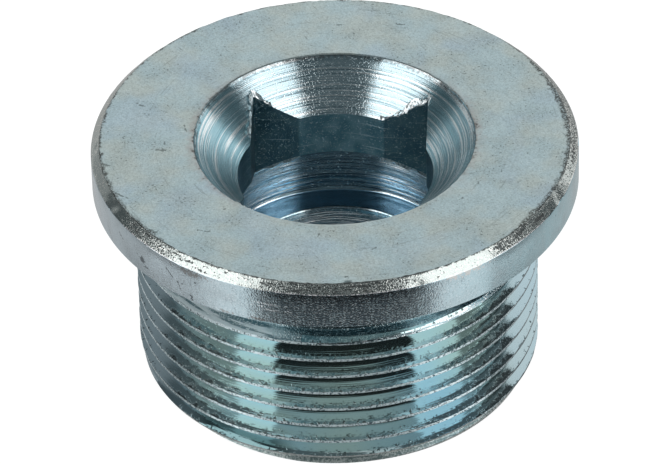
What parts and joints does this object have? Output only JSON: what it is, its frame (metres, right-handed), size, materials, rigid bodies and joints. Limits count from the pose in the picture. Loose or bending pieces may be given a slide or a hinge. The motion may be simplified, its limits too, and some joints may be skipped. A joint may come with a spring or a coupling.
{
  "type": "square socket plug",
  "caption": "Cylindrical collar screw plug with a fine-threaded shank, a relief groove under the collar and a countersunk, broached square drive socket.",
  "frame": {"origin": "on the plug's axis, in the flat end face of the threaded shank, which the plug stands on", "axes": "+Z along the axis from the thread end to the collar and the open socket; the flats of the square socket are square to X and Y"},
  "size_m": [0.036, 0.036, 0.0193],
  "materials": {
    "zinc_plated_steel": "turned steel, bluish clear zinc plating, satin top face with fine scratches"
  },
  "bodies": {
    "root": {"plug_body": "zinc_plated_steel"}
  },
  "joints": []
}
